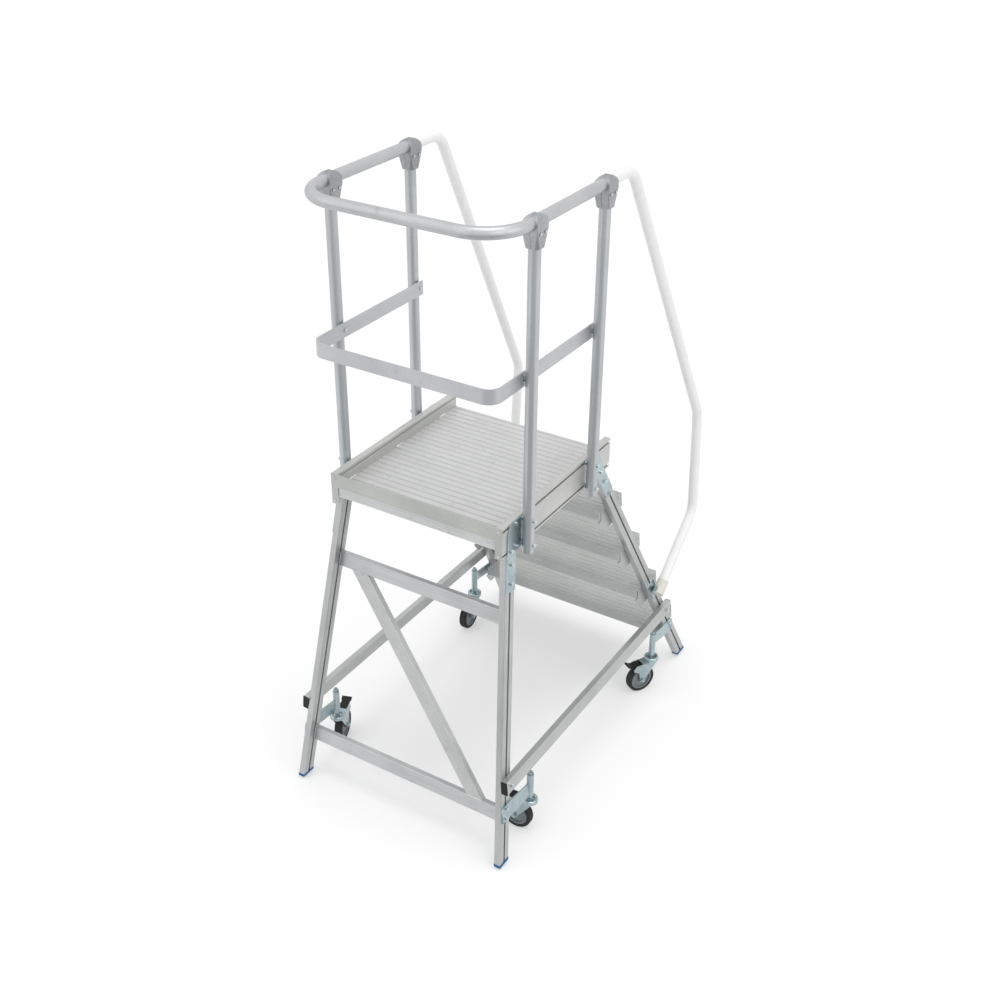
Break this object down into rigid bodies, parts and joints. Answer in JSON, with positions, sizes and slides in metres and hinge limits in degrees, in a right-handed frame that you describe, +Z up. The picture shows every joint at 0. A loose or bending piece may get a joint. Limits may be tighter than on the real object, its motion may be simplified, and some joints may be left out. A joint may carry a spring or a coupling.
{
  "type": "podium step",
  "caption": "Mobile podium step: splayed aluminium stair with ribbed treads, guarded platform, bent handrails and sprung braked castors.",
  "frame": {"origin": "on the floor under the middle of the part, in the plane midway between its two sides", "axes": "+X to the right as seen from the guard end, +Y from the guard end to the stair end, +Z up"},
  "size_m": [0.9766, 1.5807, 2.3395],
  "materials": {
    "mill_aluminium": "mill finish extrusion",
    "ribbed_aluminium": "mill finish, fine ribs",
    "tube_aluminium": "brushed round tube",
    "cast_clamp": "grey die casting",
    "white_coat": "gloss white powder coat",
    "cream_plastic": "moulded",
    "blue_plastic": "moulded",
    "black_plastic": "moulded",
    "tyre_rubber": "smooth tread",
    "hub_plastic": "moulded",
    "spring_steel": "drawn wire",
    "zinc_steel": "bright zinc plate"
  },
  "bodies": {
    "frame": {"front_leg_left": "mill_aluminium", "front_leg_right": "mill_aluminium", "stair_stile_left": "mill_aluminium", "stair_stile_right": "mill_aluminium", "foot_caps": "blue_plastic", "upper_brace": "mill_aluminium", "lower_brace": "mill_aluminium", "diagonal_brace": "mill_aluminium", "side_bar_left": "mill_aluminium", "side_bar_right": "mill_aluminium", "bar_end_caps": "black_plastic", "side_rail_left": "mill_aluminium", "side_rail_right": "mill_aluminium", "toe_board": "mill_aluminium", "deck_beams": "mill_aluminium", "deck_planks": "ribbed_aluminium", "tread_1": "ribbed_aluminium", "tread_2": "ribbed_aluminium", "tread_3": "ribbed_aluminium", "tread_4": "ribbed_aluminium", "tread_gussets": "zinc_steel", "front_uprights": "tube_aluminium", "rear_uprights": "tube_aluminium", "top_rail": "tube_aluminium", "knee_rail": "mill_aluminium", "rail_clamps": "cast_clamp", "handrail_left": "white_coat", "handrail_right": "white_coat", "handrail_sockets": "cream_plastic", "bracket_plates": "zinc_steel", "spacers": "zinc_steel", "bolts": "zinc_steel", "arm_fl": "zinc_steel", "arm_fr": "zinc_steel", "arm_rl": "zinc_steel", "arm_rr": "zinc_steel"},
    "stem_fl": {"stem_fl": "zinc_steel", "spring_fl": "spring_steel"},
    "swivel_fl": {"fork_fl": "zinc_steel"},
    "wheel_fl": {"tyre_fl": "tyre_rubber", "hub_fl": "hub_plastic"},
    "brake_fl": {"pedal_fl": "black_plastic"},
    "stem_fr": {"stem_fr": "zinc_steel", "spring_fr": "spring_steel"},
    "swivel_fr": {"fork_fr": "zinc_steel"},
    "wheel_fr": {"tyre_fr": "tyre_rubber", "hub_fr": "hub_plastic"},
    "brake_fr": {"pedal_fr": "black_plastic"},
    "stem_rl": {"stem_rl": "zinc_steel", "spring_rl": "spring_steel"},
    "swivel_rl": {"fork_rl": "zinc_steel"},
    "wheel_rl": {"tyre_rl": "tyre_rubber", "hub_rl": "hub_plastic"},
    "brake_rl": {"pedal_rl": "black_plastic"},
    "stem_rr": {"stem_rr": "zinc_steel", "spring_rr": "spring_steel"},
    "swivel_rr": {"fork_rr": "zinc_steel"},
    "wheel_rr": {"tyre_rr": "tyre_rubber", "hub_rr": "hub_plastic"},
    "brake_rr": {"pedal_rr": "black_plastic"}
  },
  "joints": [
    {"name": "spring_fl", "type": "slide", "parent": "frame", "child": "stem_fl", "axis": [0, 0, 1], "range_m": [0, 0.011], "stiffness_N_per_m": 6000, "springref_m": -0.03, "deforming": ["spring_fl"]},
    {"name": "swivel_fl", "type": "hinge", "parent": "stem_fl", "child": "swivel_fl", "pos_m": [-0.44374, -0.55365, 0], "axis": [0, 0, 1], "continuous": true},
    {"name": "roll_fl", "type": "hinge", "parent": "swivel_fl", "child": "wheel_fl", "pos_m": [-0.46067, -0.50449, 0.0625], "axis": [-0.9455, -0.3256, 0], "continuous": true},
    {"name": "brake_fl", "type": "hinge", "parent": "swivel_fl", "child": "brake_fl", "pos_m": [-0.46458, -0.49314, 0.134], "axis": [-0.9455, -0.3256, 0], "range_deg": [0, 12]},
    {"name": "spring_fr", "type": "slide", "parent": "frame", "child": "stem_fr", "axis": [0, 0, 1], "range_m": [0, 0.011], "stiffness_N_per_m": 6000, "springref_m": -0.03, "deforming": ["spring_fr"]},
    {"name": "swivel_fr", "type": "hinge", "parent": "stem_fr", "child": "swivel_fr", "pos_m": [0.44374, -0.55365, 0], "axis": [0, 0, 1], "continuous": true},
    {"name": "roll_fr", "type": "hinge", "parent": "swivel_fr", "child": "wheel_fr", "pos_m": [0.39174, -0.55365, 0.0625], "axis": [0, -1, 0], "continuous": true},
    {"name": "brake_fr", "type": "hinge", "parent": "swivel_fr", "child": "brake_fr", "pos_m": [0.37974, -0.55365, 0.134], "axis": [0, -1, 0], "range_deg": [0, 12]},
    {"name": "spring_rl", "type": "slide", "parent": "frame", "child": "stem_rl", "axis": [0, 0, 1], "range_m": [0, 0.011], "stiffness_N_per_m": 6000, "springref_m": -0.03, "deforming": ["spring_rl"]},
    {"name": "swivel_rl", "type": "hinge", "parent": "stem_rl", "child": "swivel_rl", "pos_m": [-0.44374, 0.45305, 0], "axis": [0, 0, 1], "continuous": true},
    {"name": "roll_rl", "type": "hinge", "parent": "swivel_rl", "child": "wheel_rl", "pos_m": [-0.44102, 0.40113, 0.0625], "axis": [0.9986, 0.0523, 0], "continuous": true},
    {"name": "brake_rl", "type": "hinge", "parent": "swivel_rl", "child": "brake_rl", "pos_m": [-0.44039, 0.38914, 0.134], "axis": [0.9986, 0.0523, 0], "range_deg": [0, 12]},
    {"name": "spring_rr", "type": "slide", "parent": "frame", "child": "stem_rr", "axis": [0, 0, 1], "range_m": [0, 0.011], "stiffness_N_per_m": 6000, "springref_m": -0.03, "deforming": ["spring_rr"]},
    {"name": "swivel_rr", "type": "hinge", "parent": "stem_rr", "child": "swivel_rr", "pos_m": [0.44374, 0.45305, 0], "axis": [0, 0, 1], "continuous": true},
    {"name": "roll_rr", "type": "hinge", "parent": "swivel_rr", "child": "wheel_rr", "pos_m": [0.41774, 0.40802, 0.0625], "axis": [0.866, -0.5, 0], "continuous": true},
    {"name": "brake_rr", "type": "hinge", "parent": "swivel_rr", "child": "brake_rr", "pos_m": [0.41174, 0.39763, 0.134], "axis": [0.866, -0.5, 0], "range_deg": [0, 12]}
  ]
}
